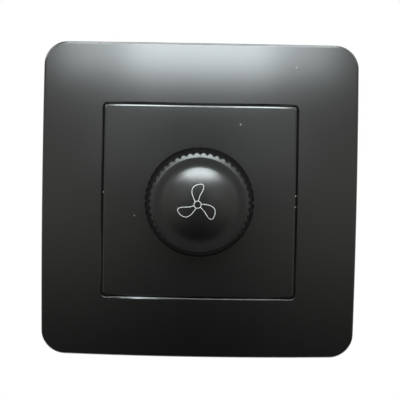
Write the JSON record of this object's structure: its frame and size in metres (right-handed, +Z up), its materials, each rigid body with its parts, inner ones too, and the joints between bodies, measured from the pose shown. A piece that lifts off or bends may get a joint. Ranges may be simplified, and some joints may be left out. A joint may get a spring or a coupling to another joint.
{
  "type": "fan speed control switch",
  "caption": "Square pillow-shaped wall plate with a flush centre panel and a round serrated knob that sets a ceiling fan's speed, with its control module behind.",
  "frame": {"origin": "centre of the plate on the wall's surface, midway between the two wall screw slots", "axes": "the knob points to -Y, away from the wall; +X is to the right as seen from the front and +Z is up"},
  "size_m": [0.086, 0.0465, 0.086],
  "materials": {
    "satin_black_plastic": "satin, lightly textured",
    "knob_black_plastic": "satin, lightly textured",
    "grey_plastic": "matt",
    "zinc": "cast and plated",
    "steel": "zinc plated",
    "shaft_metal": "turned",
    "phenolic": "matt",
    "black_moulding": "matt",
    "tinned_metal": "tinned",
    "board": "satin",
    "aluminium": "mill finish",
    "film_case": "glossy",
    "timing_case": "glossy",
    "ferrite": "matt",
    "copper": "enamelled",
    "resistor_case": "satin",
    "diac_case": "glossy",
    "holder_plastic": "matt",
    "brass": "plain"
  },
  "bodies": {
    "base": {"outer_frame": "satin_black_plastic", "center_plate": "satin_black_plastic", "mounting_bracket": "grey_plastic", "pot_bushing": "zinc", "pot_washer": "steel", "pot_nut": "steel", "pot_track": "phenolic", "pot_case": "steel", "pot_switch": "black_moulding", "pot_pins": "tinned_metal", "switch_pins": "tinned_metal", "circuit_board": "board", "heat_sink": "aluminium", "triac": "black_moulding", "triac_screw": "steel", "triac_nut": "steel", "film_capacitor": "film_case", "timing_capacitor": "timing_case", "choke_core": "ferrite", "choke_winding": "copper", "resistors": "resistor_case", "diac": "diac_case", "terminal_holder": "holder_plastic", "terminal_cages": "brass", "terminal_screws": "steel", "rear_housing": "grey_plastic", "housing_screws": "steel"},
    "rotor": {"knob": "knob_black_plastic", "pot_shaft": "shaft_metal", "pot_wiper": "black_moulding"}
  },
  "joints": [
    {"name": "knob_turn", "type": "hinge", "parent": "base", "child": "rotor", "pos_m": [0, 0, 0], "axis": [0, 1, 0], "range_deg": [0, 300]}
  ]
}
